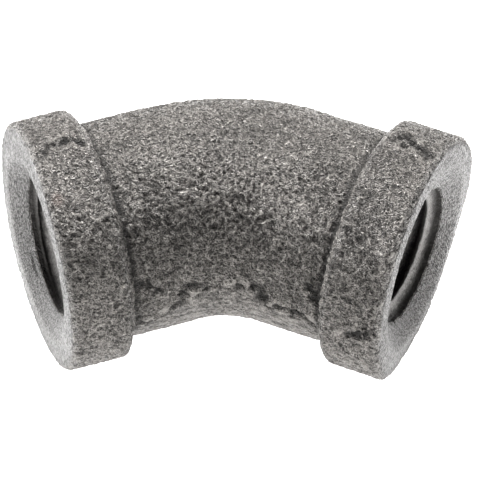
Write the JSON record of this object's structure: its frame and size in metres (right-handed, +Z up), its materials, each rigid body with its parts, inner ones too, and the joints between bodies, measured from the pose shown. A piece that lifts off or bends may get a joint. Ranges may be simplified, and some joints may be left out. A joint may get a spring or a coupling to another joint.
{
  "type": "pipe elbow",
  "caption": "Cast iron 45 degree pipe elbow with a thick round band and an internal taper pipe thread at each end.",
  "frame": {"origin": "middle of the underside of the elbow's bounding box, with the elbow lying on its side", "axes": "+X to the right across both ports, +Y towards the outside of the bend, +Z up, square to the plane of the bend. Port a is at -X, port b at +X, and both port axes lie in the plane Z = 12.5 mm, 22.5 degrees from the X axis towards -Y"},
  "size_m": [0.0472, 0.0286, 0.025],
  "materials": {
    "cast_iron_skin": "matt grey-black, coarse sand-cast skin, uncoated"
  },
  "bodies": {
    "root": {"elbow_casting": "cast_iron_skin"}
  },
  "joints": []
}
